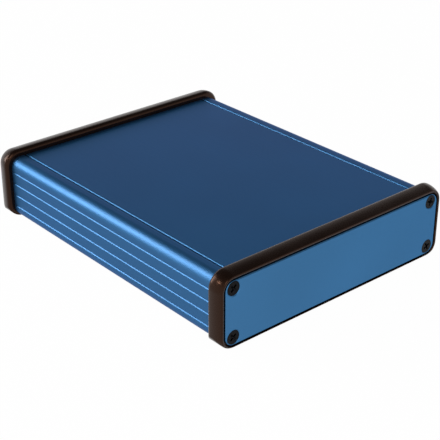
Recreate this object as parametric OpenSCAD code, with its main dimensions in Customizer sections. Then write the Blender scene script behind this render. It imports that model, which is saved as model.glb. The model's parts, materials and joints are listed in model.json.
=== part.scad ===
// Extruded aluminium instrument case.
// A one-piece extrusion with a slide-in cover is closed at each end by a moulded
// bezel and a flat end panel, held by four countersunk screws.
// X is the width, Y the length and Z the height. The front panel faces -Y.
// The origin is at the middle of the footprint, on the surface that the feet stand on.

/* [Body extrusion] */
// Width of the extrusion
body_w = 103; // [90:0.5:160]
// Height of the extrusion
body_h = 24.8; // [22:0.1:50]
// Length of the extrusion
body_l = 120; // [60:1:220]
// Radius of the four long outer corners
corner_r = 3.9; // [3.2:0.1:5]
// Wall thickness of the sides and the floor
wall_t = 1.5; // [1.2:0.1:2]

/* [Side grooves] */
// Number of fine grooves along each side
groove_count = 4; // [0:1:4]
// Distance from the top of the body to the first groove
groove_first = 5.6; // [4.8:0.1:6.5]
// Distance from one groove to the next
groove_pitch = 4.75; // [2:0.05:4.9]
// Width of a groove at the surface
groove_w = 0.7; // [0.3:0.1:1]
// Depth of a groove
groove_depth = 0.35; // [0.2:0.05:0.6]

/* [Slide-in cover] */
// Distance from the side of the body to the free edge of the lip over the cover
lip_reach = 6.3; // [5.8:0.1:8]
// Thickness of the lip over the cover
lip_t = 0.85; // [0.7:0.05:1]
// Thickness of the cover
cover_t = 2; // [1.9:0.1:2.4]
// Thickness of the flange along each edge of the cover
flange_t = 1; // [0.8:0.05:1]
// How far the flange runs out under the lip
flange_reach = 1.3; // [1:0.1:1.5]
// Visible gap between the cover and the lip
seam_gap = 0.5; // [0.2:0.1:0.8]
// Bevel along the edges of the cover and of the lips
seam_bevel = 0.4; // [0.1:0.1:0.5]
// Play of the flange in its channel, sideways
channel_play = 0.2; // [0.1:0.05:0.3]
// Thickness of the ledge that carries the cover
ledge_t = 1.1; // [0.8:0.1:1.4]
// Play of the cover at each end
cover_end_play = 0.1; // [0.05:0.05:0.5]

/* [Board guides] */
// Number of guide ribs on each inner side wall
guide_count = 4; // [2:1:4]
// Width of the slot for the edge of a board
guide_slot = 1.9; // [1.7:0.1:2]
// Thickness of a guide rib
guide_t = 1.2; // [0.8:0.1:1.3]
// How far a guide rib stands in from the wall
guide_depth = 1.7; // [1:0.1:2.5]

/* [End screws] */
// Distance from the side of the body to the screw axes
screw_inset_x = 3.75; // [3.6:0.05:4.2]
// Distance from the top and the bottom of the body to the screw axes
screw_inset_z = 3.2; // [3.1:0.05:4]
// Shank diameter
screw_d = 2.8; // [2.5:0.1:3]
// Diameter of the countersunk head
screw_head_d = 5.4; // [5:0.1:5.6]
// Length of the screw with its head
screw_l = 14; // [10:0.5:20]
// Length of the pointed end
screw_tip_l = 1.6; // [1:0.1:3]
// Diameter of the flat at the point
screw_tip_d = 0.7; // [0.4:0.1:1.2]
// Width of one arm of the cross recess
recess_arm_w = 0.75; // [0.5:0.05:0.9]
// Length of the cross recess, arm to arm
recess_span = 3.1; // [2.4:0.1:3.4]
// Depth of the cross recess
recess_depth = 1.1; // [0.6:0.1:1.3]
// How far the ends of the recess slope in, on each side
recess_slope = 0.75; // [0.3:0.05:0.9]
// Play of the shank in the screw channel, on the diameter
thread_play = 0.1; // [0.05:0.05:0.2]
// Wall of the open screw channel around its bore
channel_wall = 1.2; // [1:0.05:1.3]
// Width of the slit in the screw channel
channel_slit = 1.1; // [0.8:0.1:1.6]

/* [End panels] */
// Thickness of the end panel
panel_t = 1.6; // [1.5:0.1:2]
// Distance from the outline of the body in to the edge of the panel
panel_inset = 0.35; // [0.2:0.05:0.6]
// Bevel around the front edge of the panel
panel_bevel = 0.3; // [0.1:0.05:0.4]
// Diameter of the countersink at the face of the panel
countersink_d = 5.9; // [5.7:0.1:6]
// Diameter of the clearance holes for the screws
screw_hole_d = 3.4; // [3.3:0.1:3.6]

/* [Bezels] */
// Depth of the bezel from the end of the body to the face of the panel
bezel_t = 6.4; // [5.5:0.1:9]
// Height of the bezel's crown over the top and the sides of the body
bezel_proud = 2.5; // [2.2:0.1:3]
// Radius of the bezel's back shoulder
shoulder_r = 1.6; // [1:0.1:1.9]
// Radius of the bead that ends the bezel at the front
bead_r = 0.6; // [0.4:0.05:0.7]
// Height of the middle of the bead over the surface of the body
bead_rise = 0.85; // [0.7:0.05:1]
// How far the bezel's flat underside lies below the body's
base_drop = 0.3; // [0:0.05:0.5]
// Radius of the bezel's two lower corners
lower_corner_r = 7.2; // [6.4:0.1:8]
// How far the arcs of the lower corners start outside the crown
lower_corner_out = 0.6; // [0.4:0.1:1]
// Height over the body's underside at which the lip around the panel ends
lip_end_h = 0.5; // [0.4:0.05:1.5]
// Gap between the edge of the panel and the wall of its recess
panel_gap = 0.65; // [0.55:0.05:0.7]
// Width of the flange that the panel seats on
seat_w = 2.2; // [1.8:0.1:3]
// Wall of plastic around each screw hole
post_wall = 1.6; // [1.2:0.1:2]

/* [Locating tabs] */
// Length of the tabs that reach into the body
tab_l = 2; // [1:0.5:4]
// Width of a tab
tab_w = 16; // [8:1:24]
// Thickness of a tab
tab_t = 1.2; // [0.8:0.1:1.6]
// Distance from the middle of the case to the middle of a tab
tab_x = 24; // [14:1:28]
// Gap between a tab and the wall beside it
tab_play = 0.2; // [0.1:0.05:0.4]

/* [Feet] */
// Diameter of a foot where it is stuck on
foot_d = 10; // [8:0.5:14]
// Height of a foot
foot_h = 3; // [2:0.1:5]
// How much narrower the foot is at its lower end
foot_taper = 1.6; // [0.5:0.1:3]
// Bevel at the lower edge of a foot
foot_bevel = 0.7; // [0.3:0.1:1.2]
// Distance from the side of the body to the middle of a foot
foot_inset_x = 11; // [8:0.5:20]
// Distance from the end of the body to the middle of a foot
foot_inset_y = 12; // [8:0.5:25]

/* [Hidden] */
$fn = 64;
cut = 1;
centre_z = foot_h + body_h/2;
half_w = body_w/2;
half_h = body_h/2;
half_l = body_l/2;
screw_x = half_w - screw_inset_x;
screw_z = half_h - screw_inset_z;
bore_d = screw_d + thread_play;
boss_r = bore_d/2 + channel_wall;
// The cover's seams, measured from the middle of the case.
lip_edge = half_w - lip_reach;
cover_edge = lip_edge - seam_gap;
flange_edge = cover_edge + flange_reach;
channel_edge = flange_edge + channel_play;
ledge_top = half_h - cover_t;
ledge_edge = cover_edge - seam_bevel;
// Panel and recess outlines, measured out from the outline of the body.
recess_out = panel_gap - panel_inset;
seat_depth = bezel_t - panel_t;
// The crown is the arc that touches the top of the shoulder and the bead.
crown_run = bezel_t - bead_r - shoulder_r;
crown_drop = bezel_proud - bead_rise;
crown_r = (crown_run^2 + crown_drop^2 - bead_r^2) / (2*(crown_drop - bead_r));
crown_scale = crown_r / (crown_r - bead_r);
crown_end_u = shoulder_r + crown_run*crown_scale;
crown_end_o = bezel_proud - crown_r + (crown_r - crown_drop)*crown_scale;
// The head seats on the countersink's cone, so its face lies a little below the panel's.
head_sink = (countersink_d - screw_head_d)/2;
head_cone_h = (screw_head_d - screw_d)/2;
countersink_h = (countersink_d - screw_hole_d)/2;
blue = [0.17, 0.35, 0.55];
dark_blue = [0.14, 0.27, 0.43];
bezel_brown = [0.14, 0.10, 0.09];
screw_black = [0.07, 0.07, 0.08];
rubber_black = [0.10, 0.10, 0.10];

// Signs of X and Z for the screws 1 to 4, and of X and Y for the feet 1 to 4.
corner_signs = [[-1, 1], [1, 1], [1, -1], [-1, -1]];

// ---- Shapes that repeat ----

// A rectangle with round corners, about the origin.
module round_rect(w, h, r) {
  square([w - 2*r, h], center = true);
  square([w, h - 2*r], center = true);
  for (x = [-1, 1], y = [-1, 1]) translate([x*(w/2 - r), y*(h/2 - r)]) circle(r);
}

// Sweeps a section around a round rectangle. The section's X points out from the
// outline and its Y points up along Z.
module sweep_round_rect(w, h, r) {
  for (turn = [0:3]) {
    across = turn % 2 == 0;
    run = across ? h : w;
    out = across ? w : h;
    rotate([0, 0, 90*turn]) {
      translate([out/2, 0, 0]) rotate([90, 0, 0])
        linear_extrude(run - 2*r, center = true) children();
      translate([out/2 - r, run/2 - r, 0])
        rotate_extrude(angle = 90) translate([r, 0]) children();
    }
  }
}

// Both mirror images of what is drawn for +X.
module both_sides() {
  children();
  mirror([1, 0, 0]) children();
}

// Turns a section drawn in X and Y into a bar along the case, section Y being up.
module along_case(l) {
  translate([0, 0, centre_z]) rotate([90, 0, 0]) linear_extrude(l, center = true) children();
}

// Places what is drawn on the XY plane, facing +Z, on an end of the body. end is -1 or 1.
module on_end(end) {
  translate([0, 0, centre_z]) mirror([0, end > 0 ? 1 : 0, 0])
    translate([0, -half_l, 0]) rotate([90, 0, 0]) children();
}

// ---- Body ----

// The four fine V-grooves along the +X side.
module side_grooves() {
  for (i = [0:1:groove_count - 1]) translate([half_w, half_h - groove_first - i*groove_pitch])
    polygon([[-groove_depth, 0], [0, -groove_w/2], [cut, -groove_w/2], [cut, groove_w/2], [0, groove_w/2]]);
}

// Ribs on the +X inner wall; a board's edge slides in between two of them.
module board_guides() {
  pitch = guide_t + guide_slot;
  for (i = [0:guide_count - 1])
    translate([half_w - wall_t - guide_depth, (i - (guide_count - 1)/2)*pitch - guide_t/2])
      square([guide_depth + wall_t/2, guide_t]);
}

// One open screw channel, at a corner of the section. z is -1 or 1.
module screw_channel_cut(z) {
  translate([screw_x, z*screw_z]) {
    circle(d = bore_d);
    translate([-boss_r - cut, -channel_slit/2]) square([boss_r + cut, channel_slit]);
  }
}

// The section's opening for the cover: the channel under the lip and the bevelled gap.
module cover_opening() {
  slot_h = cover_t - lip_t;
  translate([0, ledge_top]) square([channel_edge, slot_h]);
  polygon([
    [0, ledge_top], [lip_edge, ledge_top], [lip_edge, half_h - seam_bevel],
    [lip_edge + seam_bevel, half_h], [lip_edge + seam_bevel, half_h + cut], [0, half_h + cut]
  ]);
}

// The right half of the extrusion's section.
module body_half_section() {
  difference() {
    union() {
      difference() {
        intersection() {
          round_rect(body_w, body_h, corner_r);
          translate([0, -half_h]) square([half_w, body_h]);
        }
        round_rect(body_w - 2*wall_t, body_h - 2*wall_t, corner_r - wall_t);
      }
      for (z = [-1, 1]) translate([screw_x, z*screw_z]) circle(boss_r);
      translate([ledge_edge, ledge_top - ledge_t]) square([screw_x - ledge_edge, ledge_t]);
      board_guides();
    }
    cover_opening();
    for (z = [-1, 1]) screw_channel_cut(z);
    side_grooves();
  }
}

module body() {
  color(blue) along_case(body_l) both_sides() body_half_section();
}

// ---- Cover ----

// The cover's section: the raised field with its bevels, and a flange along each edge.
module cover_section() {
  flange_top = ledge_top + flange_t;
  right = [
    [flange_edge, ledge_top], [flange_edge, flange_top], [cover_edge, flange_top],
    [cover_edge, half_h - seam_bevel], [cover_edge - seam_bevel, half_h]
  ];
  left = [for (i = [len(right) - 1:-1:0]) [-right[i][0], right[i][1]]];
  polygon(concat(right, left));
}

module cover() {
  color(dark_blue) along_case(body_l - 2*cover_end_play) cover_section();
}

// ---- Bezels ----

// The bezel's section. X is the height over the body's surface and Y the distance
// from the end of the body out to the front.
module bezel_section() {
  difference() {
    union() {
      translate([-seat_w, 0]) square([seat_w + bezel_proud - shoulder_r, seat_depth]);
      intersection() {
        translate([bezel_proud - shoulder_r, shoulder_r]) circle(shoulder_r);
        square([bezel_proud, shoulder_r]);
      }
      intersection() {
        translate([bezel_proud - crown_r, shoulder_r]) circle(crown_r, $fn = 180);
        polygon([
          [0, shoulder_r], [0, bezel_t - bead_r], [bead_rise, bezel_t - bead_r],
          [crown_end_o, crown_end_u], [bezel_proud + cut, crown_end_u], [bezel_proud + cut, shoulder_r]
        ]);
      }
      translate([bead_rise, bezel_t - bead_r]) circle(bead_r);
    }
    translate([-seat_w - cut, seat_depth]) square([seat_w + cut + recess_out, panel_t + cut]);
  }
}

// One tab that locates the bezel inside the body. side is -1 at the floor, 1 at the cover.
module locating_tab(x, side) {
  wall = side > 0 ? cover_t : wall_t;
  translate([x - tab_w/2, side*(half_h - wall - tab_play) - (side > 0 ? tab_t : 0), -tab_l])
    cube([tab_w, tab_t, tab_l + seat_depth/2]);
}

// The room that the bezel keeps to: its flat underside and its two lower corners.
module lower_outline() {
  r = lower_corner_r;
  edge = half_w + bezel_proud + lower_corner_out;
  base = -half_h - base_drop;
  translate([-edge, base + r]) square([2*edge, body_h + base_drop + bezel_proud + cut - r]);
  translate([r - edge, base]) square([2*(edge - r), r]);
  for (x = [-1, 1]) translate([x*(edge - r), base + r]) circle(r);
}

module bezel() {
  reach = half_w + bezel_proud + cut;
  color(bezel_brown) difference() {
    intersection() {
      union() {
        sweep_round_rect(body_w, body_h, corner_r) bezel_section();
        for (x = [-1, 1], z = [-1, 1]) {
          translate([x*screw_x, z*screw_z, 0]) cylinder(d = screw_hole_d + 2*post_wall, h = seat_depth);
          locating_tab(x*tab_x, z);
        }
      }
      translate([0, 0, -tab_l - cut]) linear_extrude(tab_l + bezel_t + 2*cut) lower_outline();
    }
    translate([-reach, -half_h - base_drop - cut, seat_depth])
      cube([2*reach, lip_end_h + base_drop + cut, panel_t + cut]);
    for (x = [-1, 1], z = [-1, 1]) translate([x*screw_x, z*screw_z, -cut])
      cylinder(d = screw_hole_d, h = seat_depth + 2*cut);
  }
}

// ---- End panels ----

module panel() {
  w = body_w - 2*panel_inset;
  h = body_h - 2*panel_inset;
  r = corner_r - panel_inset;
  color(blue) translate([0, 0, seat_depth]) difference() {
    linear_extrude(panel_t) round_rect(w, h, r);
    translate([0, 0, panel_t]) sweep_round_rect(w, h, r)
      polygon([[0, -panel_bevel], [cut, -panel_bevel], [cut, cut], [-panel_bevel, cut], [-panel_bevel, 0]]);
    for (x = [-1, 1], z = [-1, 1]) translate([x*screw_x, z*screw_z, 0]) {
      translate([0, 0, -cut]) cylinder(d = screw_hole_d, h = panel_t + 2*cut);
      translate([0, 0, panel_t - countersink_h])
        cylinder(d1 = screw_hole_d, d2 = countersink_d, h = countersink_h);
      translate([0, 0, panel_t]) cylinder(d = countersink_d, h = cut);
    }
  }
}

// ---- Screws ----

// The cross recess, its arms sloping in towards the bottom.
module cross_recess() {
  intersection() {
    translate([0, 0, -recess_depth])
      cylinder(d1 = recess_span - 2*recess_slope, d2 = recess_span + 2*cut*recess_slope/recess_depth,
        h = recess_depth + cut);
    for (turn = [0, 90]) rotate([0, 0, turn])
      translate([-recess_span/2 - cut, -recess_arm_w/2, -recess_depth])
        cube([recess_span + 2*cut, recess_arm_w, recess_depth + cut]);
  }
}

// A countersunk screw pointing down -Z, with its face on the XY plane.
module screw() {
  color(screw_black) difference() {
    rotate_extrude() polygon([
      [0, 0], [screw_head_d/2, 0], [screw_d/2, -head_cone_h], [screw_d/2, -screw_l + screw_tip_l],
      [screw_tip_d/2, -screw_l], [0, -screw_l]
    ]);
    cross_recess();
  }
}

// Screw i of the end given by its sign.
module end_screw(end, i) {
  sign = corner_signs[i - 1];
  on_end(end) translate([sign[0]*screw_x, sign[1]*screw_z, bezel_t - head_sink]) screw();
}

// ---- Feet ----

module foot(i) {
  sign = corner_signs[i - 1];
  low_r = foot_d/2 - foot_taper/2;
  color(rubber_black) translate([sign[0]*(half_w - foot_inset_x), sign[1]*(half_l - foot_inset_y), 0])
    rotate_extrude() polygon([
      [0, 0], [low_r - foot_bevel, 0], [low_r, foot_bevel], [foot_d/2, foot_h], [0, foot_h]
    ]);
}

body();
cover();
on_end(-1) bezel();  // front_bezel
on_end(1) bezel();  // rear_bezel
on_end(-1) panel();  // front_panel
on_end(1) panel();  // rear_panel
for (i = [1:4]) {
  end_screw(-1, i);
  end_screw(1, i);
  foot(i);
}
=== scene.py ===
"""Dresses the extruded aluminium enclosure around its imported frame.

The extrusion, its slide-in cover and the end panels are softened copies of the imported
solids. The two bezels are swept by Geometry Nodes from one section, trimmed flat below and
given their screw posts. The end screws and the feet are each made once and repeated by
Geometry Nodes. Everything is in metres, in the frame of the CAD model: X is the width,
Y the length with the front panel facing -Y, and Z is up from the floor under the feet.
"""

from __future__ import annotations

import json
import logging
import math
from dataclasses import dataclass
from enum import Enum
from typing import Any, Callable, Sequence

import bmesh
import bpy
from mathutils import Matrix, Vector

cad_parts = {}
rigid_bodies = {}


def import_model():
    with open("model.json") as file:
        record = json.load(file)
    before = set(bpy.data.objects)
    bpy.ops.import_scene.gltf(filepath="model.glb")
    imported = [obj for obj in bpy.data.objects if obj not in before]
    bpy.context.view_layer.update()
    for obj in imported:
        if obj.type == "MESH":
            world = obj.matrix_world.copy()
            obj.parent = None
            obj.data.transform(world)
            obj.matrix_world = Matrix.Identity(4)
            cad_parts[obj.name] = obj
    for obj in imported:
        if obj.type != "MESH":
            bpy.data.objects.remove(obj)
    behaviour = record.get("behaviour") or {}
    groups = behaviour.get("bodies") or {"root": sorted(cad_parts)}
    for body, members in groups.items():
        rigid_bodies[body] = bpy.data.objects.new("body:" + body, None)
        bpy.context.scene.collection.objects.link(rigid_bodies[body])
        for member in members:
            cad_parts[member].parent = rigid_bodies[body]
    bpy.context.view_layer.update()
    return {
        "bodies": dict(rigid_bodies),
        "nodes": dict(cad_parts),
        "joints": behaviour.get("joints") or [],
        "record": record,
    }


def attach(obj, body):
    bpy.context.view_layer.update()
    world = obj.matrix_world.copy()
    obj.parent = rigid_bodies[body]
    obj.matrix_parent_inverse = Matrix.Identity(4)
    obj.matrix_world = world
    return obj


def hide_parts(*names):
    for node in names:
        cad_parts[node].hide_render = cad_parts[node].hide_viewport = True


LOG = logging.getLogger("enclosure")
MM = 0.001
# How firmly the large flat faces hold the shading normals, out of 100.
FLAT_WEIGHT = 80
SENSOR_MM = 36.0


# ---- Small tools ----


def linear(hex_colour: str) -> tuple[float, float, float, float]:
    """Turns an sRGB hex colour into linear light.

    Args:
        hex_colour: six hex digits with a leading hash.

    Returns:
        Red, green, blue and an alpha of 1.
    """
    parts = [int(hex_colour[i : i + 2], 16) / 255 for i in (1, 3, 5)]
    light = [c / 12.92 if c <= 0.04045 else ((c + 0.055) / 1.055) ** 2.4 for c in parts]
    return (light[0], light[1], light[2], 1.0)


def tone(
    colour: tuple[float, float, float, float], factor: float
) -> tuple[float, float, float, float]:
    """Makes a colour lighter or darker and keeps its alpha."""
    return (colour[0] * factor, colour[1] * factor, colour[2] * factor, colour[3])


def add_node(
    tree: bpy.types.NodeTree, kind: str, links: dict[Any, Any] | None = None, **settings: Any
) -> bpy.types.Node:
    """Adds one node to a tree.

    Args:
        tree: the tree that gets the node.
        kind: the node's type.
        links: for an input, by name or number, the output that feeds it or its own value.
        settings: properties of the node itself.

    Returns:
        The new node.
    """
    node = tree.nodes.new(kind)
    for name, value in settings.items():
        setattr(node, name, value)
    for key, value in (links or {}).items():
        if isinstance(value, bpy.types.NodeSocket):
            tree.links.new(value, node.inputs[key])
        else:
            node.inputs[key].default_value = value
    return node


def new_piece(name: str, mesh: bpy.types.Mesh) -> bpy.types.Object:
    """Links a new object that shows a mesh, at the origin."""
    piece = bpy.data.objects.new(name, mesh)
    bpy.context.scene.collection.objects.link(piece)
    return piece


def mesh_from(bm: bmesh.types.BMesh, name: str) -> bpy.types.Mesh:
    """Writes a bmesh to a new mesh and frees it."""
    mesh = bpy.data.meshes.new(name)
    bm.to_mesh(mesh)
    bm.free()
    return mesh


def apply_modifiers(piece: bpy.types.Object) -> None:
    """Makes what a piece's modifiers give its plain mesh, and takes them off."""
    graph = bpy.context.evaluated_depsgraph_get()
    mesh = bpy.data.meshes.new_from_object(
        piece.evaluated_get(graph), preserve_all_data_layers=True, depsgraph=graph
    )
    piece.modifiers.clear()
    piece.data = mesh


def edit_mesh(piece: bpy.types.Object, change: Callable[[bmesh.types.BMesh], None]) -> None:
    """Opens a piece's mesh, lets a function change it, and writes it back."""
    bm = bmesh.new()
    bm.from_mesh(piece.data)
    change(bm)
    bm.to_mesh(piece.data)
    bm.free()
    piece.data.update()


def clean(bm: bmesh.types.BMesh, weld: float = 2e-6, flat_deg: float = 0.3) -> None:
    """Welds loose triangles into one skin of flat faces that point outwards.

    Args:
        bm: the mesh.
        weld: distance below which two points are one, in metres.
        flat_deg: bend below which two faces become one, in degrees.
    """
    bmesh.ops.remove_doubles(bm, verts=bm.verts, dist=weld)
    bmesh.ops.dissolve_degenerate(bm, edges=bm.edges, dist=weld)
    bmesh.ops.dissolve_limit(
        bm, angle_limit=math.radians(flat_deg), verts=bm.verts, edges=bm.edges
    )
    bmesh.ops.recalc_face_normals(bm, faces=bm.faces)


def soften(
    piece: bpy.types.Object, width_mm: float, angle_deg: float, segments: int = 2
) -> None:
    """Rounds a piece's sharp edges a little and shades it smooth.

    Args:
        piece: the piece, with a clean mesh.
        width_mm: how far the round reaches on each side of an edge.
        angle_deg: edges that bend more than this are rounded.
        segments: faces across the round.
    """
    bevel = piece.modifiers.new("edge_round", "BEVEL")
    bevel.width = width_mm * MM
    bevel.segments = segments
    bevel.limit_method = "ANGLE"
    bevel.angle_limit = math.radians(angle_deg)
    bevel.harden_normals = False
    bevel.miter_outer = "MITER_ARC"
    apply_modifiers(piece)
    shade(piece)


def shade(piece: bpy.types.Object, angle_deg: float = 40.0) -> None:
    """Shades a piece smooth, with the flats kept flat by face-weighted normals."""
    for face in piece.data.polygons:
        face.use_smooth = True

    def mark(bm: bmesh.types.BMesh) -> None:
        for edge in bm.edges:
            bend = edge.calc_face_angle(0.0)
            edge.smooth = bend < math.radians(angle_deg)

    edit_mesh(piece, mark)
    weighted = piece.modifiers.new("flat_faces", "WEIGHTED_NORMAL")
    weighted.keep_sharp = True
    weighted.weight = FLAT_WEIGHT
    apply_modifiers(piece)


def combine(piece: bpy.types.Object, tool: bpy.types.Mesh, operation: str) -> None:
    """Adds a solid to a piece, cuts it away or keeps what they share.

    Args:
        piece: the piece that is changed.
        tool: a closed mesh in the same frame, which is used up.
        operation: UNION, DIFFERENCE or INTERSECT.
    """
    helper = new_piece("helper", tool)
    boolean = piece.modifiers.new("solid", "BOOLEAN")
    boolean.operation = operation
    boolean.solver = "EXACT"
    boolean.object = helper
    apply_modifiers(piece)
    bpy.data.objects.remove(helper)
    bpy.data.meshes.remove(tool)


def prism(
    outline: Sequence[tuple[float, float]], low: float, high: float, place: Matrix
) -> bpy.types.Mesh:
    """Makes a closed bar from an outline.

    Args:
        outline: points in the bar's own X and Y.
        low: where the bar starts on its own Z.
        high: where it ends.
        place: turns and moves the bar to its place.

    Returns:
        The bar's mesh.
    """
    bm = bmesh.new()
    ends = [[bm.verts.new((x, y, z)) for x, y in outline] for z in (low, high)]
    bm.faces.new(ends[0])
    bm.faces.new(ends[1])
    count = len(outline)
    for i in range(count):
        j = (i + 1) % count
        bm.faces.new((ends[0][i], ends[0][j], ends[1][j], ends[1][i]))
    bmesh.ops.transform(bm, matrix=place, verts=bm.verts)
    bmesh.ops.recalc_face_normals(bm, faces=bm.faces)
    return mesh_from(bm, "bar")


def arc(
    centre: tuple[float, float], radius: float, start: float, end: float, steps: int
) -> list[tuple[float, float]]:
    """Points along an arc, both ends included.

    Args:
        centre: the arc's centre.
        radius: its radius.
        start: angle of the first point, in radians from the first axis.
        end: angle of the last point.
        steps: number of chords.

    Returns:
        The points in order.
    """
    angles = [start + (end - start) * i / steps for i in range(steps + 1)]
    return [(centre[0] + radius * math.cos(a), centre[1] + radius * math.sin(a)) for a in angles]


def lathe(outline: Sequence[tuple[float, float]], steps: int, name: str) -> bpy.types.Mesh:
    """Turns a half outline about the Z axis into a closed skin.

    Args:
        outline: points as distance from the axis and height, from pole to pole.
        steps: number of faces around.
        name: name of the mesh.

    Returns:
        The mesh, with one point at each pole.
    """
    bm = bmesh.new()
    rings: list[list[bmesh.types.BMVert]] = []
    for radius, z in outline:
        if radius < 1e-9:
            rings.append([bm.verts.new((0, 0, z))])
            continue
        turn = [2 * math.pi * i / steps for i in range(steps)]
        rings.append([bm.verts.new((radius * math.cos(t), radius * math.sin(t), z)) for t in turn])
    for lower, upper in zip(rings, rings[1:]):
        for i in range(steps):
            j = (i + 1) % steps
            corners = [lower[i % len(lower)], lower[j % len(lower)]]
            corners += [upper[j % len(upper)], upper[i % len(upper)]]
            bm.faces.new(list(dict.fromkeys(corners)))
    bmesh.ops.recalc_face_normals(bm, faces=bm.faces)
    return mesh_from(bm, name)


# ---- Geometry Nodes ----


@dataclass
class NodeRule:
    """A Geometry Nodes tree with named inputs that changes a piece's mesh."""

    name: str

    def __post_init__(self) -> None:
        """Starts the tree with its geometry input and output."""
        self.tree = bpy.data.node_groups.new(self.name, "GeometryNodeTree")
        self.values: dict[str, Any] = {}
        self.tree.interface.new_socket(
            name="Geometry", in_out="INPUT", socket_type="NodeSocketGeometry"
        )
        self.tree.interface.new_socket(
            name="Geometry", in_out="OUTPUT", socket_type="NodeSocketGeometry"
        )
        self.entry = add_node(self.tree, "NodeGroupInput")
        self.exit = add_node(self.tree, "NodeGroupOutput")

    def size(self, name: str, value: float | int) -> bpy.types.NodeSocket:
        """Adds a named input for a size or a count.

        Args:
            name: the input's name.
            value: what the modifier gives it.

        Returns:
            The output that carries it inside the tree.
        """
        kind = "NodeSocketInt" if isinstance(value, int) else "NodeSocketFloat"
        socket = self.tree.interface.new_socket(name=name, in_out="INPUT", socket_type=kind)
        self.values[socket.identifier] = value
        return self.entry.outputs[name]

    def add(
        self, kind: str, links: dict[Any, Any] | None = None, **settings: Any
    ) -> bpy.types.Node:
        """Adds a node to the tree."""
        return add_node(self.tree, kind, links, **settings)

    def close(self, geometry: bpy.types.NodeSocket, material: bpy.types.Material) -> None:
        """Ends the tree in plain geometry that wears one material."""
        real = self.add("GeometryNodeRealizeInstances", {"Geometry": geometry})
        dressed = self.add(
            "GeometryNodeSetMaterial", {"Geometry": real.outputs[0], "Material": material}
        )
        self.tree.links.new(dressed.outputs[0], self.exit.inputs[0])

    def run(self, piece: bpy.types.Object) -> None:
        """Runs the tree on a piece and keeps what it makes as the piece's plain mesh."""
        modifier = piece.modifiers.new(self.name, "NODES")
        modifier.node_group = self.tree
        for identifier, value in self.values.items():
            modifier[identifier] = value
        apply_modifiers(piece)


# ---- Finishes ----


@dataclass(frozen=True)
class Finish:
    """A surface finish, which builds one node material."""

    name: str

    def material(self) -> bpy.types.Material:
        """Makes the material with its shader and lets the finish wire its patterns."""
        made = bpy.data.materials.new(self.name)
        made.use_nodes = True
        made.node_tree.nodes.clear()
        tree = made.node_tree
        shader = add_node(tree, "ShaderNodeBsdfPrincipled")
        add_node(tree, "ShaderNodeOutputMaterial", {"Surface": shader.outputs[0]})
        self.wire(tree, shader)
        return made

    def wire(self, tree: bpy.types.NodeTree, shader: bpy.types.Node) -> None:
        """Wires the finish's own nodes into the shader."""
        raise NotImplementedError

    def noise(
        self, tree: bpy.types.NodeTree, grain_mm: tuple[float, float, float], detail: float = 2.0
    ) -> bpy.types.NodeSocket:
        """A noise on Object coordinates.

        Args:
            tree: the material's tree.
            grain_mm: size of a grain along X, Y and Z.
            detail: octaves of finer noise on top.

        Returns:
            The noise's value, about 0 to 1.
        """
        place = add_node(tree, "ShaderNodeTexCoord")
        scale = tuple(1 / (g * MM) for g in grain_mm)
        sized = add_node(
            tree, "ShaderNodeMapping", {"Vector": place.outputs["Object"], "Scale": scale}
        )
        noise = add_node(
            tree,
            "ShaderNodeTexNoise",
            {"Vector": sized.outputs[0], "Scale": 1.0, "Detail": detail, "Roughness": 0.6},
        )
        return noise.outputs[0]

    def spread(
        self, tree: bpy.types.NodeTree, value: bpy.types.NodeSocket, low: float, high: float
    ) -> bpy.types.NodeSocket:
        """Maps a noise's middle range onto a range of values.

        Args:
            tree: the material's tree.
            value: the noise.
            low: what the noise's dark parts give.
            high: what its bright parts give.

        Returns:
            The mapped value.
        """
        mapped = add_node(
            tree,
            "ShaderNodeMapRange",
            {"Value": value, "From Min": 0.3, "From Max": 0.7, "To Min": low, "To Max": high},
        )
        return mapped.outputs[0]


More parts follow.
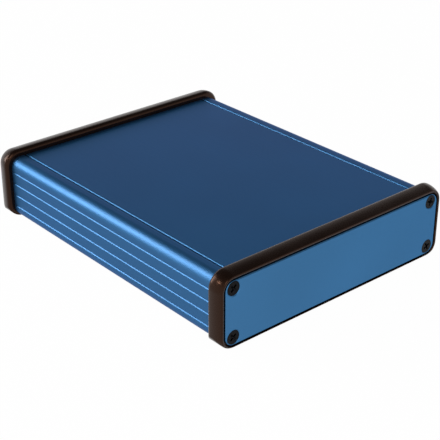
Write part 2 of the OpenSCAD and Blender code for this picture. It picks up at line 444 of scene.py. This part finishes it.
@dataclass(frozen=True)
class AnodisedAluminium(Finish):
    """Extruded aluminium, blasted, dyed and sealed.

    Blasting leaves a fine even grain that breaks up reflections, the die leaves faint lines
    along the extrusion, and the clear sealed layer over the dye gives highlights that are
    paler than the metal under it.
    """

    colour: str = "#32638f"
    shade_spread: float = 0.06
    # The real grain is about 0.1 mm. It is drawn 0.45 mm wide so that it shows.
    grain_mm: float = 0.45
    # Die lines are about 0.2 mm wide and run the whole length. They are drawn 0.6 mm wide.
    line_mm: tuple[float, float, float] = (0.6, 90.0, 0.6)
    cloud_mm: float = 38.0
    grain_share: float = 0.6
    cloud_tones: tuple[float, float] = (0.96, 1.04)
    line_tones: tuple[float, float] = (0.985, 1.015)
    line_roughness: float = 0.02
    roughness: tuple[float, float] = (0.41, 0.49)
    grain_height_mm: float = 0.006
    grain_strength: float = 0.5
    # The dyed layer stays blue at a slant, where bare metal would turn white.
    slant_tint: str = "#6a9ccc"
    coat: float = 0.28
    coat_roughness: float = 0.30

    def wire(self, tree: bpy.types.NodeTree, shader: bpy.types.Node) -> None:
        """Wires grain, die lines and the dye's slow variation."""
        grain = self.noise(tree, (self.grain_mm,) * 3)
        lines = self.noise(tree, self.line_mm, 1.0)
        clouds = self.noise(tree, (self.cloud_mm,) * 3, 1.0)
        base = linear(self.colour)
        mix = add_node(
            tree,
            "ShaderNodeMix",
            {
                0: self.spread(tree, grain, 0.0, self.grain_share),
                6: tone(base, 1 - self.shade_spread),
                7: tone(base, 1 + self.shade_spread),
            },
            data_type="RGBA",
        )
        slow = add_node(
            tree,
            "ShaderNodeMath",
            {
                0: self.spread(tree, clouds, *self.cloud_tones),
                1: self.spread(tree, lines, *self.line_tones),
            },
            operation="MULTIPLY",
        )
        tinted = add_node(
            tree,
            "ShaderNodeVectorMath",
            {0: mix.outputs[2], "Scale": slow.outputs[0]},
            operation="SCALE",
        )
        rough = add_node(
            tree,
            "ShaderNodeMath",
            {
                0: self.spread(tree, grain, *self.roughness),
                1: self.spread(tree, lines, -self.line_roughness, self.line_roughness),
            },
            operation="ADD",
        )
        bump = add_node(
            tree,
            "ShaderNodeBump",
            {
                "Strength": self.grain_strength,
                "Distance": self.grain_height_mm * MM,
                "Height": grain,
            },
        )
        links = tree.links
        links.new(tinted.outputs[0], shader.inputs["Base Color"])
        links.new(rough.outputs[0], shader.inputs["Roughness"])
        links.new(bump.outputs[0], shader.inputs["Normal"])
        shader.inputs["Metallic"].default_value = 1.0
        shader.inputs["Specular Tint"].default_value = linear(self.slant_tint)
        shader.inputs["Coat Weight"].default_value = self.coat
        shader.inputs["Coat Roughness"].default_value = self.coat_roughness


@dataclass(frozen=True)
class MouldedAbs(Finish):
    """Injection-moulded ABS in a very dark brown.

    The mould is lightly spark-eroded, so the skin has a fine leathery grain and a broad soft
    gloss, a little uneven where the plastic flowed.
    """

    colour: str = "#0f0806"
    sheen_tint: str = "#e6a888"
    sheen_level: float = 0.36
    # Spark-eroded pits are about 0.1 mm. They are drawn 0.5 mm wide so that they show.
    pit_mm: float = 0.5
    flow_mm: float = 14.0
    roughness: tuple[float, float] = (0.22, 0.30)
    pit_depth_mm: float = 0.008
    pit_strength: float = 0.4
    flow_tones: tuple[float, float] = (0.9, 1.12)
    flow_roughness: float = 0.02
    ior: float = 1.54

    def wire(self, tree: bpy.types.NodeTree, shader: bpy.types.Node) -> None:
        """Wires the pits of the mould and the flow of the plastic."""
        pits = self.noise(tree, (self.pit_mm,) * 3, 3.0)
        flow = self.noise(tree, (self.flow_mm,) * 3, 1.0)
        base = linear(self.colour)
        mix = add_node(
            tree,
            "ShaderNodeMix",
            {
                0: self.spread(tree, flow, 0.0, 1.0),
                6: tone(base, self.flow_tones[0]),
                7: tone(base, self.flow_tones[1]),
            },
            data_type="RGBA",
        )
        rough = add_node(
            tree,
            "ShaderNodeMath",
            {
                0: self.spread(tree, pits, *self.roughness),
                1: self.spread(tree, flow, -self.flow_roughness, self.flow_roughness),
            },
            operation="ADD",
        )
        bump = add_node(
            tree,
            "ShaderNodeBump",
            {
                "Strength": self.pit_strength,
                "Distance": self.pit_depth_mm * MM,
                "Height": pits,
            },
        )
        tree.links.new(mix.outputs[2], shader.inputs["Base Color"])
        tree.links.new(rough.outputs[0], shader.inputs["Roughness"])
        tree.links.new(bump.outputs[0], shader.inputs["Normal"])
        shader.inputs["Specular Tint"].default_value = linear(self.sheen_tint)
        shader.inputs["Specular IOR Level"].default_value = self.sheen_level
        shader.inputs["IOR"].default_value = self.ior


@dataclass(frozen=True)
class BlackOxideSteel(Finish):
    """Cold-headed steel screws with a black oxide skin.

    The oxide is thin and oiled, so the steel stays metallic but nearly black, with a soft
    sheen that varies from spot to spot.
    """

    colour: str = "#101012"
    # Oxide crystals are microscopic. The mottling is drawn 0.4 mm wide so that it shows.
    mottle_mm: float = 0.4
    mottle_tones: tuple[float, float] = (0.7, 1.3)
    mottle_height_mm: float = 0.01
    mottle_strength: float = 0.3
    roughness: tuple[float, float] = (0.28, 0.45)

    def wire(self, tree: bpy.types.NodeTree, shader: bpy.types.Node) -> None:
        """Wires the mottled oxide."""
        mottle = self.noise(tree, (self.mottle_mm,) * 3, 3.0)
        base = linear(self.colour)
        mix = add_node(
            tree,
            "ShaderNodeMix",
            {
                0: self.spread(tree, mottle, 0.0, 1.0),
                6: tone(base, self.mottle_tones[0]),
                7: tone(base, self.mottle_tones[1]),
            },
            data_type="RGBA",
        )
        bump = add_node(
            tree,
            "ShaderNodeBump",
            {
                "Strength": self.mottle_strength,
                "Distance": self.mottle_height_mm * MM,
                "Height": mottle,
            },
        )
        tree.links.new(mix.outputs[2], shader.inputs["Base Color"])
        tree.links.new(self.spread(tree, mottle, *self.roughness), shader.inputs["Roughness"])
        tree.links.new(bump.outputs[0], shader.inputs["Normal"])
        shader.inputs["Metallic"].default_value = 1.0


@dataclass(frozen=True)
class FootRubber(Finish):
    """Compression-moulded rubber.

    Carbon black makes it nearly black, and the matt mould leaves a dull grain that scatters
    light evenly.
    """

    colour: str = "#1b1b1b"
    # Mould grain of about 0.2 mm, drawn 0.5 mm wide so that it shows.
    grain_mm: float = 0.5
    roughness: tuple[float, float] = (0.7, 0.85)
    grain_tones: tuple[float, float] = (0.8, 1.25)
    grain_height_mm: float = 0.02
    grain_strength: float = 0.5
    ior: float = 1.52

    def wire(self, tree: bpy.types.NodeTree, shader: bpy.types.Node) -> None:
        """Wires the matt grain."""
        grain = self.noise(tree, (self.grain_mm,) * 3, 3.0)
        base = linear(self.colour)
        mix = add_node(
            tree,
            "ShaderNodeMix",
            {
                0: self.spread(tree, grain, 0.0, 1.0),
                6: tone(base, self.grain_tones[0]),
                7: tone(base, self.grain_tones[1]),
            },
            data_type="RGBA",
        )
        bump = add_node(
            tree,
            "ShaderNodeBump",
            {
                "Strength": self.grain_strength,
                "Distance": self.grain_height_mm * MM,
                "Height": grain,
            },
        )
        tree.links.new(mix.outputs[2], shader.inputs["Base Color"])
        tree.links.new(self.spread(tree, grain, *self.roughness), shader.inputs["Roughness"])
        tree.links.new(bump.outputs[0], shader.inputs["Normal"])
        shader.inputs["IOR"].default_value = self.ior


class Slot(Enum):
    """The record's material slots."""

    BODY = "anodised_body"
    COVER = "anodised_cover"
    PANEL = "anodised_panel"
    BEZEL = "bezel_plastic"
    SCREW = "screw_steel"
    FOOT = "foot_rubber"


class End(Enum):
    """The two ends of the case, with the sign of their Y."""

    FRONT = -1
    REAR = 1


# ---- Sub-assemblies ----


@dataclass
class SubAssembly:
    """A part of the case that is dressed as one or more pieces."""

    frame: dict[str, Any]

    def finish_piece(
        self,
        piece: bpy.types.Object,
        material: bpy.types.Material,
        slot: Slot,
        nodes: Sequence[str],
    ) -> None:
        """Gives a finished piece its material and its place in the model.

        Args:
            piece: the finished piece.
            material: what it wears.
            slot: the record's slot that its finish belongs to; not used.
            nodes: the CAD nodes that it stands for.
        """
        piece.data.materials.clear()
        piece.data.materials.append(material)
        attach(piece, "root")
        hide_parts(*nodes)
        piece.data.calc_loop_triangles()
        LOG.info("%s: %d triangles, stands for %s", piece.name,
                 len(piece.data.loop_triangles), ", ".join(nodes))

    def copy_of(self, node: str, name: str) -> bpy.types.Object:
        """Makes a clean copy of a CAD node to work on.

        Args:
            node: the CAD node.
            name: the new piece's name.

        Returns:
            The piece, its skin welded and its flats whole.
        """
        piece = new_piece(name, self.frame["nodes"][node].data.copy())
        if piece.data.has_custom_normals:
            piece.data.normals_split_custom_set([(0, 0, 0)] * len(piece.data.loops))
            piece.data.attributes.remove(piece.data.attributes["custom_normal"])
        edit_mesh(piece, clean)
        return piece


@dataclass
class Extrusion(SubAssembly):
    """The extruded body and the cover that slides into it."""

    edge_round_mm: float = 0.15
    cover_round_mm: float = 0.22
    angle_deg: float = 28.0

    def build(self) -> None:
        """Makes and dresses the two extruded pieces."""
        body = self.copy_of("body", "extruded_body")
        soften(body, self.edge_round_mm, self.angle_deg)
        finish = AnodisedAluminium("blue_anodised_extrusion")
        self.finish_piece(body, finish.material(), Slot.BODY, ["body"])
        cover = self.copy_of("cover", "slide_in_cover")
        soften(cover, self.cover_round_mm, self.angle_deg)
        finish = AnodisedAluminium("blue_anodised_cover", colour="#316591")
        self.finish_piece(cover, finish.material(), Slot.COVER, ["cover"])


@dataclass
class EndPanels(SubAssembly):
    """The flat plates that close both ends."""

    edge_round_mm: float = 0.22
    angle_deg: float = 28.0

    def build(self) -> None:
        """Makes and dresses both panels."""
        # Painted light: the panels wear the body's blue anodising, painted lighter to stand in for
        # the stronger light that falls on the front faces.
        finish = AnodisedAluminium(
            "blue_anodised_panel", colour="#39709d", line_mm=(0.6, 0.6, 0.6)
        )
        material = finish.material()
        for end in End:
            node = f"{end.name.lower()}_panel"
            panel = self.copy_of(node, f"{end.name.lower()}_end_panel")
            soften(panel, self.edge_round_mm, self.angle_deg)
            self.finish_piece(panel, material, Slot.PANEL, [node])


@dataclass
class Bezels(SubAssembly):
    """The two moulded bezels, swept by Geometry Nodes and then trimmed and fitted out."""

    body_w: float = 103.0
    body_h: float = 24.8
    half_l: float = 60.0
    centre_z: float = 15.4
    corner_r: float = 3.9
    depth: float = 6.4
    proud: float = 2.5
    shoulder_r: float = 1.6
    bead_r: float = 0.6
    bead_rise: float = 0.85
    seat_w: float = 2.2
    seat_depth: float = 4.8
    recess_out: float = 0.3
    # The solid's underside is 0.25 mm higher. The lower one leaves a thin lip under the panel.
    base_drop: float = 0.55
    lower_corner_r: float = 7.2
    lower_corner_out: float = 0.6
    screw_x: float = 47.75
    screw_z: float = 9.2
    hole_d: float = 3.4
    post_wall: float = 1.6
    tab_l: float = 2.0
    tab_w: float = 16.0
    tab_t: float = 1.2
    tab_x: float = 24.0
    tab_low_gap: float = 1.7
    tab_high_gap: float = 2.2
    tool_over: float = 1.0
    edge_round_mm: float = 0.12
    angle_deg: float = 40.0
    round_steps: int = 10
    crown_steps: int = 12
    corner_steps: int = 20
    lower_steps: int = 24
    hole_steps: int = 48

    def section(self) -> list[tuple[float, float]]:
        """The ring's section.

        Returns:
            Points as height over the body's surface and depth out from its end.
        """
        run = self.depth - self.bead_r - self.shoulder_r
        drop = self.proud - self.bead_rise
        crown_r = (run**2 + drop**2 - self.bead_r**2) / (2 * (drop - self.bead_r))
        scale = crown_r / (crown_r - self.bead_r)
        end_u = run * scale
        sweep = math.asin(end_u / crown_r)
        shoulder = arc(
            (self.proud - self.shoulder_r, self.shoulder_r),
            self.shoulder_r,
            -math.pi / 2,
            0,
            self.round_steps,
        )
        crown = arc(
            (self.proud - crown_r, self.shoulder_r), crown_r, 0, sweep, self.crown_steps
        )
        bead_end = math.pi - math.acos((self.bead_rise - self.recess_out) / self.bead_r)
        bead = arc(
            (self.bead_rise, self.depth - self.bead_r),
            self.bead_r,
            sweep,
            bead_end,
            self.round_steps,
        )
        return (
            [(-self.seat_w, 0.0)]
            + shoulder
            + crown[1:]
            + bead[1:]
            + [(self.recess_out, self.seat_depth), (-self.seat_w, self.seat_depth)]
        )

    def sweep(self, name: str, material: bpy.types.Material) -> bpy.types.Object:
        """Sweeps the section around the body's outline.

        Args:
            name: the new piece's name.
            material: what the ring wears.

        Returns:
            The closed ring, facing out along +Z.
        """
        points = [(o * MM, -u * MM, 0.0) for o, u in self.section()]
        edges = [(i, (i + 1) % len(points)) for i in range(len(points))]
        mesh = bpy.data.meshes.new("bezel_section")
        mesh.from_pydata(points, edges, [])
        ring = new_piece(name, mesh)
        rule = NodeRule("bezel_sweep")
        outline = rule.add(
            "GeometryNodeCurvePrimitiveQuadrilateral",
            {
                "Width": rule.size("Outline Width", self.body_w * MM),
                "Height": rule.size("Outline Height", self.body_h * MM),
            },
        )
        rounded = rule.add(
            "GeometryNodeFilletCurve",
            {
                "Curve": outline.outputs[0],
                "Count": rule.size("Corner Steps", self.corner_steps),
                "Radius": rule.size("Corner Radius", self.corner_r * MM),
            },
            mode="POLY",
        )
        section = rule.add("GeometryNodeMeshToCurve", {"Mesh": rule.entry.outputs[0]})
        swept = rule.add(
            "GeometryNodeCurveToMesh",
            {"Curve": rounded.outputs[0], "Profile Curve": section.outputs[0]},
        )
        rule.close(swept.outputs[0], material)
        rule.run(ring)
        edit_mesh(ring, clean)
        return ring

    def lower_outline(self) -> list[tuple[float, float]]:
        """The outline that the bezel keeps to, with its flat base and two lower corners."""
        edge = self.body_w / 2 + self.proud + self.lower_corner_out
        base = -self.body_h / 2 - self.base_drop
        r = self.lower_corner_r
        top = self.body_h / 2 + self.proud + self.tool_over
        left = arc((r - edge, base + r), r, math.pi, 1.5 * math.pi, self.lower_steps)
        right = arc((edge - r, base + r), r, 1.5 * math.pi, 2 * math.pi, self.lower_steps)
        return [(-edge, top)] + left + right + [(edge, top)]

    def round_outline(self, x: float, z: float, radius: float) -> list[tuple[float, float]]:
        """A full circle of points about a screw's axis."""
        return arc((x, z), radius, 0, 2 * math.pi, self.hole_steps)[:-1]

    def bar(self, points: Sequence[tuple[float, float]], low: float, high: float) -> bpy.types.Mesh:
        """A bar in the bezel's own frame, all in millimetres."""
        metres = [(x * MM, y * MM) for x, y in points]
        return prism(metres, low * MM, high * MM, Matrix.Identity(4))

    def rectangle(self, x0: float, y0: float, x1: float, y1: float) -> list[tuple[float, float]]:
        """The corners of a rectangle."""
        return [(x0, y0), (x1, y0), (x1, y1), (x0, y1)]

    def build(self) -> None:
        """Makes and dresses both bezels."""
        material = MouldedAbs("dark_brown_moulded_abs").material()
        signs = (-1, 1)
        half_h = self.body_h / 2
        for end in End:
            name = f"{end.name.lower()}_bezel"
            ring = self.sweep(f"moulded_{name}", material)
            for x in signs:
                for z in signs:
                    post = self.round_outline(
                        x * self.screw_x, z * self.screw_z, self.hole_d / 2 + self.post_wall
                    )
                    combine(ring, self.bar(post, 0, self.seat_depth), "UNION")
                    gap = self.tab_high_gap if z > 0 else self.tab_low_gap
                    inner = z * (half_h - gap - self.tab_t)
                    outer = z * (half_h - gap)
                    tab = self.rectangle(
                        x * self.tab_x - self.tab_w / 2, min(inner, outer),
                        x * self.tab_x + self.tab_w / 2, max(inner, outer),
                    )
                    combine(ring, self.bar(tab, -self.tab_l, self.seat_depth / 2), "UNION")
            low, high = -self.tab_l - self.tool_over, self.depth + self.tool_over
            combine(ring, self.bar(self.lower_outline(), low, high), "INTERSECT")
            for x in signs:
                for z in signs:
                    hole = self.round_outline(
                        x * self.screw_x, z * self.screw_z, self.hole_d / 2
                    )
                    combine(ring, self.bar(hole, -self.tool_over, self.depth), "DIFFERENCE")
            turn = Matrix.Rotation(math.radians(90), 4, "X")
            if end is End.REAR:
                turn = Matrix.Rotation(math.pi, 4, "Z") @ turn
            place = Matrix.Translation(
                (0, end.value * self.half_l * MM, self.centre_z * MM)
            )
            ring.data.transform(place @ turn)
            edit_mesh(ring, clean)
            soften(ring, self.edge_round_mm, self.angle_deg)
            self.finish_piece(ring, material, Slot.BEZEL, [name])


@dataclass
class EndScrews(SubAssembly):
    """The eight countersunk screws, one made and the rest repeated by Geometry Nodes."""

    screw_x: float = 47.75
    screw_z: float = 9.2
    centre_z: float = 15.4
    face_y: float = 66.15
    head_d: float = 5.4
    shank_d: float = 2.8
    length: float = 14.0
    tip_l: float = 1.6
    tip_d: float = 0.7
    arm_w: float = 0.75
    span: float = 3.1
    depth: float = 1.1
    slope: float = 0.75
    head_land_mm: float = 0.12
    neck_out: float = 0.1
    neck_top: float = 0.02
    neck_l: float = 0.2
    mouth_flare: float = 1.12
    floor_share: float = 0.8
    recess_over: float = 1.0
    twist_rad: float = 1.5
    edge_round_mm: float = 0.05
    angle_deg: float = 30.0
    steps: int = 40

    def outline(self) -> list[tuple[float, float]]:
        """The half outline of the screw, its face on Z = 0 and its point below."""
        r, s = self.head_d / 2, self.shank_d / 2
        cone = r - s
        land = self.head_land_mm
        return [
            (0, 0), (r - 2 * land, 0), (r - land * 0.6, -land * 0.25), (r, -land),
            (s + self.neck_out, -cone - self.neck_top), (s, -cone - self.neck_l),
            (s, self.tip_l - self.length),
            (self.tip_d / 2, -self.length), (0, -self.length),
        ]

    def recess(self) -> bpy.types.Mesh:
        """The tapered cross that is cut into the head."""
        bm = bmesh.new()
        top, low = self.span / 2 + self.slope / self.depth, self.span / 2 - self.slope
        w = self.arm_w / 2
        layers = []
        mouth = (top, w * self.mouth_flare, self.recess_over)
        floor = (low, w * self.floor_share, -self.depth)
        for reach, width, z in (mouth, floor):
            corner = [(reach, -width), (reach, width), (width, width)]
            ring = []
            for turn in range(4):
                c, s = math.cos(turn * math.pi / 2), math.sin(turn * math.pi / 2)
                ring += [bm.verts.new(((x * c - y * s) * MM, (x * s + y * c) * MM, z * MM))
                         for x, y in corner]
            layers.append(ring)
        bm.faces.new(layers[0])
        bm.faces.new(layers[1])
        for i in range(12):
            j = (i + 1) % 12
            bm.faces.new((layers[0][i], layers[0][j], layers[1][j], layers[1][i]))
        bmesh.ops.recalc_face_normals(bm, faces=bm.faces)
        return mesh_from(bm, "recess")

    def build(self) -> None:
        """Makes and dresses the screws."""
        material = BlackOxideSteel("black_oxide_steel").material()
        outline = [(r * MM, z * MM) for r, z in self.outline()]
        screws = new_piece("end_screws", lathe(outline, self.steps, "screw"))
        combine(screws, self.recess(), "DIFFERENCE")
        edit_mesh(screws, clean)
        soften(screws, self.edge_round_mm, self.angle_deg)
        rule = NodeRule("screw_places")
        wide = rule.size("Spacing Across", 2 * self.screw_x * MM)
        high = rule.size("Spacing Up", 2 * self.screw_z * MM)
        face = rule.size("Face Distance", self.face_y * MM)
        centre = rule.size("Centre Height", self.centre_z * MM)
        ends = []
        for end in End:
            seed = rule.size(f"Twist Seed {end.name.title()}", 4 + end.value)
            corners = rule.add(
                "GeometryNodeMeshGrid",
                {"Size X": wide, "Size Y": high, "Vertices X": 2, "Vertices Y": 2},
            )
            twist = rule.add(
                "FunctionNodeRandomValue",
                {0: (0.0, 0.0, -self.twist_rad), 1: (0.0, 0.0, self.twist_rad), "Seed": seed},
                data_type="FLOAT_VECTOR",
            )
            placed = rule.add(
                "GeometryNodeInstanceOnPoints",
                {
                    "Points": corners.outputs[0],
                    "Instance": rule.entry.outputs[0],
                    "Rotation": twist.outputs[0],
                },
            )
            out = rule.add("ShaderNodeMath", {0: face, 1: float(end.value)}, operation="MULTIPLY")
            where = rule.add("ShaderNodeCombineXYZ", {"Y": out.outputs[0], "Z": centre})
            turn = (math.pi / 2, 0.0, 0.0 if end is End.FRONT else math.pi)
            ends.append(rule.add(
                "GeometryNodeTransform",
                {"Geometry": placed.outputs[0], "Translation": where.outputs[0], "Rotation": turn},
            ))
        both = rule.add("GeometryNodeJoinGeometry")
        for one in ends:
            rule.tree.links.new(one.outputs[0], both.inputs[0])
        rule.close(both.outputs[0], material)
        rule.run(screws)
        nodes = [f"{end.name.lower()}_screw_{i}" for end in End for i in range(1, 5)]
        self.finish_piece(screws, material, Slot.SCREW, nodes)


@dataclass
class Feet(SubAssembly):
    """The four stick-on feet, one made and the rest repeated by Geometry Nodes."""

    x: float = 40.5
    y: float = 48.0
    top_d: float = 10.0
    low_d: float = 8.4
    height: float = 3.0
    bevel: float = 0.7
    bevel_steps: int = 6
    rim_in: float = 0.02
    rim_h: float = 0.15
    rim_round: float = 0.1
    angle_deg: float = 50.0
    steps: int = 48

    def build(self) -> None:
        """Makes and dresses the feet."""
        material = FootRubber("black_moulded_rubber").material()
        r = self.low_d / 2
        # A short round leads from the flat sole into the tapered side.
        sole = [(r - self.bevel * (1 - math.sin(a)), self.bevel * (1 - math.cos(a)))
                for a in (math.radians(90 * i / self.bevel_steps)
                          for i in range(self.bevel_steps + 1))]
        outline = [(0.0, 0.0)] + sole + [
            (self.top_d / 2 - self.rim_in, self.height - self.rim_h),
            (self.top_d / 2 - self.rim_round, self.height),
            (0.0, self.height),
        ]
        metres = [(a * MM, z * MM) for a, z in outline]
        feet = new_piece("rubber_feet", lathe(metres, self.steps, "foot"))
        shade(feet, self.angle_deg)
        rule = NodeRule("foot_places")
        corners = rule.add(
            "GeometryNodeMeshGrid",
            {
                "Size X": rule.size("Spacing Across", 2 * self.x * MM),
                "Size Y": rule.size("Spacing Along", 2 * self.y * MM),
                "Vertices X": 2,
                "Vertices Y": 2,
            },
        )
        placed = rule.add(
            "GeometryNodeInstanceOnPoints",
            {"Points": corners.outputs[0], "Instance": rule.entry.outputs[0]},
        )
        rule.close(placed.outputs[0], material)
        rule.run(feet)
        self.finish_piece(feet, material, Slot.FOOT, [f"foot_{i}" for i in range(1, 5)])


# ---- Studio ----


@dataclass(frozen=True)
class Lamp:
    """A soft lamp that faces the case."""

    name: str
    direction: tuple[float, float, float]
    distance: float
    width: float
    height: float
    radiance: float

    def place(self, target: Vector) -> None:
        """Adds the lamp.

        Args:
            target: the point that it faces.
        """
        data = bpy.data.lights.new(self.name, "AREA")
        data.shape = "RECTANGLE"
        data.size, data.size_y = self.width, self.height
        data.energy = self.radiance * math.pi * self.width * self.height
        lamp = bpy.data.objects.new(self.name, data)
        bpy.context.scene.collection.objects.link(lamp)
        away = Vector(self.direction).normalized()
        lamp.location = target + away * self.distance
        lamp.rotation_mode = "QUATERNION"
        lamp.rotation_quaternion = away.to_track_quat("Z", "Y")


@dataclass(frozen=True)
class Studio:
    """The floor, the light and the camera."""

    floor_size: float = 6.0
    floor_colour: str = "#e6e6e6"
    floor_glow: float = 0.985
    horizon: float = 1.10
    overhead: float = 0.10
    # The room fades from the horizon's level to the overhead one between these two heights,
    # as the sine of the angle over the floor.
    horizon_top: float = 0.20
    overhead_from: float = 0.75
    azimuth_deg: float = -39.993
    elevation_deg: float = 27.017
    roll_deg: float = -0.291
    target_mm: tuple[float, float, float] = (66.668, 84.962, -45.701)
    distance_mm: float = 580.0
    focal_px: float = 1191.922
    centre_px: tuple[float, float] = (203.548, 215.283)
    frame_px: float = 440.0
    lamp_height_mm: float = 15.0

    def seen_directly(self, tree: bpy.types.NodeTree) -> bpy.types.NodeSocket:
        """1 for rays from the camera and for those that mirror or pass through to it."""
        path = add_node(tree, "ShaderNodeLightPath")
        total = path.outputs["Is Camera Ray"]
        for kind in ("Is Glossy Ray", "Is Transmission Ray"):
            total = add_node(
                tree, "ShaderNodeMath", {0: total, 1: path.outputs[kind]}, operation="MAXIMUM"
            ).outputs[0]
        return total

    def floor(self) -> None:
        """A white floor that keeps a faint shadow of the case."""
        bm = bmesh.new()
        bmesh.ops.create_grid(bm, x_segments=8, y_segments=8, size=self.floor_size / 2)
        floor = new_piece("floor", mesh_from(bm, "floor"))
        material = bpy.data.materials.new("white_sweep")
        material.use_nodes = True
        tree = material.node_tree
        tree.nodes.clear()
        paint = add_node(tree, "ShaderNodeBsdfDiffuse", {"Color": linear(self.floor_colour)})
        glow = add_node(tree, "ShaderNodeEmission", {"Color": (1, 1, 1, 1), "Strength": 1.0})
        share = add_node(
            tree,
            "ShaderNodeMath",
            {0: self.seen_directly(tree), 1: self.floor_glow},
            operation="MULTIPLY",
        )
        both = add_node(
            tree,
            "ShaderNodeMixShader",
            {0: share.outputs[0], 1: paint.outputs[0], 2: glow.outputs[0]},
        )
        add_node(tree, "ShaderNodeOutputMaterial", {"Surface": both.outputs[0]})
        floor.data.materials.append(material)

    def world(self) -> None:
        """A white backdrop for the camera, and a soft room for everything else."""
        world = bpy.data.worlds.new("soft_room")
        bpy.context.scene.world = world
        world.use_nodes = True
        tree = world.node_tree
        tree.nodes.clear()
        way = add_node(tree, "ShaderNodeTexCoord")
        parts = add_node(tree, "ShaderNodeSeparateXYZ", {0: way.outputs["Generated"]})
        room = add_node(
            tree,
            "ShaderNodeMapRange",
            {
                "Value": parts.outputs["Z"],
                "From Min": self.horizon_top,
                "From Max": self.overhead_from,
                "To Min": self.horizon,
                "To Max": self.overhead,
            },
        )
        path = add_node(tree, "ShaderNodeLightPath")
        level = add_node(
            tree,
            "ShaderNodeMix",
            {0: path.outputs["Is Camera Ray"], 2: room.outputs[0], 3: 1.0},
            data_type="FLOAT",
        )
        sky = add_node(
            tree,
            "ShaderNodeBackground",
            {"Color": (1, 1, 1, 1), "Strength": level.outputs[0]},
        )
        add_node(tree, "ShaderNodeOutputWorld", {"Surface": sky.outputs[0]})

    def lamps(self) -> None:
        """A tall panel behind on the left, a small key on the left and a fill in front."""
        lamps = (
            Lamp("panel_back_left", (-0.60, 0.70, 0.42), 1.0, 0.36, 0.60, 8.5),
            Lamp("key_left", (-0.81, 0.09, 0.58), 1.0, 0.09, 0.09, 60.0),
            Lamp("fill_front", (-0.45, -0.60, 0.66), 1.2, 0.50, 0.50, 5.0),
        )
        for lamp in lamps:
            lamp.place(Vector((0, 0, self.lamp_height_mm * MM)))

    def camera(self) -> None:
        """A long lens at the viewing angle, with a small shift for the framing."""
        a, e = math.radians(self.azimuth_deg), math.radians(self.elevation_deg)
        roll = math.radians(self.roll_deg)
        back = Vector((math.sin(a) * math.cos(e), -math.cos(a) * math.cos(e), math.sin(e)))
        right = Vector((math.cos(a), math.sin(a), 0))
        up = back.cross(right)
        right, up = (
            right * math.cos(roll) + up * math.sin(roll),
            up * math.cos(roll) - right * math.sin(roll),
        )
        data = bpy.data.cameras.new("camera")
        data.sensor_width = SENSOR_MM
        data.lens = self.focal_px * SENSOR_MM / self.frame_px
        data.shift_x = (self.frame_px / 2 - self.centre_px[0]) / self.frame_px
        data.shift_y = (self.centre_px[1] - self.frame_px / 2) / self.frame_px
        data.clip_start, data.clip_end = 0.01, 20.0
        camera = bpy.data.objects.new("camera", data)
        bpy.context.scene.collection.objects.link(camera)
        place = Vector(self.target_mm) * MM + back * self.distance_mm * MM
        camera.matrix_world = Matrix.Translation(place) @ Matrix(
            (right, up, back)
        ).transposed().to_4x4()
        bpy.context.scene.camera = camera

    def build(self) -> None:
        """Sets the studio up."""
        self.floor()
        self.world()
        self.lamps()
        self.camera()
        bpy.context.scene.view_settings.view_transform = "Standard"


def main() -> None:
    """Builds the case around its frame and sets up the studio."""
    logging.basicConfig(level=logging.INFO, format="%(name)s: %(message)s")
    for leftover in list(bpy.data.objects):
        bpy.data.objects.remove(leftover)
    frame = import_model()
    for part in (Extrusion(frame), EndPanels(frame), Bezels(frame), EndScrews(frame), Feet(frame)):
        part.build()
    Studio().build()


if __name__ == "__main__":
    main()
